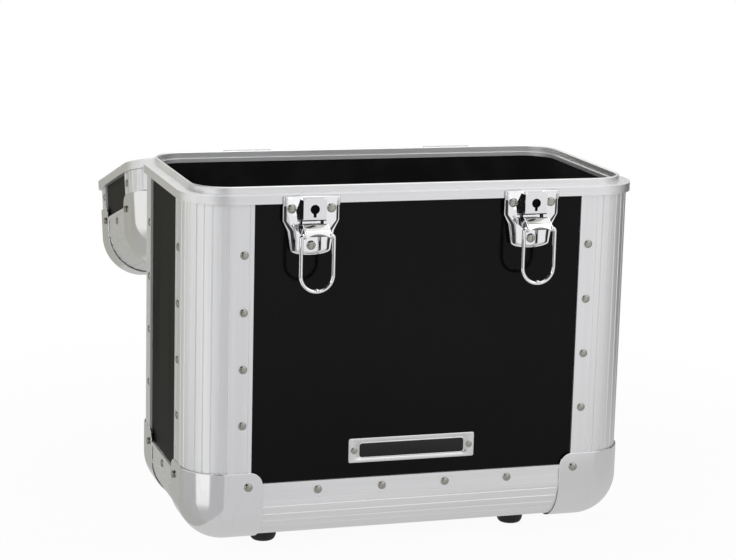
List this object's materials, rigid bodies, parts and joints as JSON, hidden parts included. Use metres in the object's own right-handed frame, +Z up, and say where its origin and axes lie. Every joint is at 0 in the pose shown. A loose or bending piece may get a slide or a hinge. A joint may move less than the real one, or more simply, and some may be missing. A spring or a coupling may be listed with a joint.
{
  "type": "record carrying case",
  "caption": "Laminated record carrying case framed in ribbed aluminium, its hinged lid swung over the back, with draw latches, ball corners and a fold-flat handle.",
  "frame": {"origin": "on the floor, at the centre of the bounding box in plan, with the lid hanging open behind the body", "axes": "+X to the right of a person facing the latches, +Y to the rear where the lid hangs, +Z up"},
  "size_m": [0.3864, 0.4596, 0.3102],
  "materials": {
    "front_laminate": "semi-gloss black laminate on plywood",
    "side_laminate": "satin dark laminate on plywood",
    "ribbed_aluminium": "ribbed satin extrusion",
    "rim_aluminium": "satin extrusion",
    "corner_steel": "pressed and polished steel",
    "rivet_nickel": "nickelled",
    "lining_felt": "moulded liner with a black flock",
    "rubber": "matte black",
    "steel": "zinc plated",
    "nameplate_metal": "brushed",
    "latch_chrome": "polished plating",
    "handle_plastic": "moulded black"
  },
  "bodies": {
    "body": {"front_panel": "front_laminate", "rear_panel": "front_laminate", "left_panel": "side_laminate", "right_panel": "side_laminate", "base_panel": "side_laminate", "corner_extrusion_front_left": "ribbed_aluminium", "corner_extrusion_front_right": "ribbed_aluminium", "corner_extrusion_rear_right": "ribbed_aluminium", "corner_extrusion_rear_left": "ribbed_aluminium", "base_extrusion_front": "ribbed_aluminium", "base_extrusion_rear": "ribbed_aluminium", "base_extrusion_left": "ribbed_aluminium", "base_extrusion_right": "ribbed_aluminium", "body_rim": "rim_aluminium", "body_ball_corners": "corner_steel", "body_rivets": "rivet_nickel", "latch_rivets": "rivet_nickel", "nameplate_rivets": "rivet_nickel", "body_lining": "lining_felt", "feet": "rubber", "foot_screws": "steel", "hinge_body_leaves": "steel", "hinge_pins": "steel", "latch_pins": "steel", "nameplate": "nameplate_metal", "latch_plate_left": "latch_chrome", "latch_plate_right": "latch_chrome", "lock_housing_left": "latch_chrome", "lock_housing_right": "latch_chrome"},
    "lid": {"lid_front_panel": "front_laminate", "lid_rear_panel": "front_laminate", "lid_left_panel": "side_laminate", "lid_right_panel": "side_laminate", "lid_top_panel": "side_laminate", "lid_corner_extrusion_front_left": "ribbed_aluminium", "lid_corner_extrusion_front_right": "ribbed_aluminium", "lid_corner_extrusion_rear_right": "ribbed_aluminium", "lid_corner_extrusion_rear_left": "ribbed_aluminium", "lid_edge_extrusion_front": "ribbed_aluminium", "lid_edge_extrusion_rear": "ribbed_aluminium", "lid_edge_extrusion_left": "ribbed_aluminium", "lid_edge_extrusion_right": "ribbed_aluminium", "lid_rim": "rim_aluminium", "lid_ball_corners": "corner_steel", "lid_rivets": "rivet_nickel", "lid_lining": "lining_felt", "lid_catches": "latch_chrome", "hinge_lid_leaves": "steel", "handle_brackets": "latch_chrome", "handle_pins": "steel"},
    "handle": {"handle_grip": "handle_plastic"},
    "lever_left": {"latch_lever_left": "latch_chrome"},
    "bushes_left": {"loop_bushes_left": "latch_chrome"},
    "loop_left": {"latch_loop_left": "latch_chrome"},
    "lever_right": {"latch_lever_right": "latch_chrome"},
    "bushes_right": {"loop_bushes_right": "latch_chrome"},
    "loop_right": {"latch_loop_right": "latch_chrome"}
  },
  "joints": [
    {"name": "lid_hinge", "type": "hinge", "parent": "body", "child": "lid", "pos_m": [0, 0.01702, 0.30475], "axis": [1, 0, 0], "range_deg": [0, 196.07]},
    {"name": "handle_hinge", "type": "hinge", "parent": "lid", "child": "handle", "pos_m": [0, 0.09567, 0.1813], "axis": [1, 0, 0], "range_deg": [-105, 73]},
    {"name": "lever_hinge_left", "type": "hinge", "parent": "body", "child": "lever_left", "pos_m": [-0.093, -0.20258, 0.2777], "axis": [1, 0, 0], "range_deg": [-24, 86]},
    {"name": "bush_turn_left", "type": "hinge", "parent": "lever_left", "child": "bushes_left", "pos_m": [-0.093, -0.21643, 0.27513], "axis": [1, 0, 0], "range_deg": [-86, 24]},
    {"name": "loop_swing_left", "type": "hinge", "parent": "bushes_left", "child": "loop_left", "pos_m": [-0.093, -0.21643, 0.27513], "axis": [-1, 0, 0], "range_deg": [-8, 180]},
    {"name": "lever_hinge_right", "type": "hinge", "parent": "body", "child": "lever_right", "pos_m": [0.093, -0.20258, 0.2777], "axis": [1, 0, 0], "range_deg": [-24, 86]},
    {"name": "bush_turn_right", "type": "hinge", "parent": "lever_right", "child": "bushes_right", "pos_m": [0.093, -0.21643, 0.27513], "axis": [1, 0, 0], "range_deg": [-86, 24]},
    {"name": "loop_swing_right", "type": "hinge", "parent": "bushes_right", "child": "loop_right", "pos_m": [0.093, -0.21643, 0.27513], "axis": [-1, 0, 0], "range_deg": [-8, 180]}
  ],
  "couplings": [
    {"joint": "bush_turn_left", "follows": "lever_hinge_left", "ratio": -1},
    {"joint": "bush_turn_right", "follows": "lever_hinge_right", "ratio": -1}
  ]
}
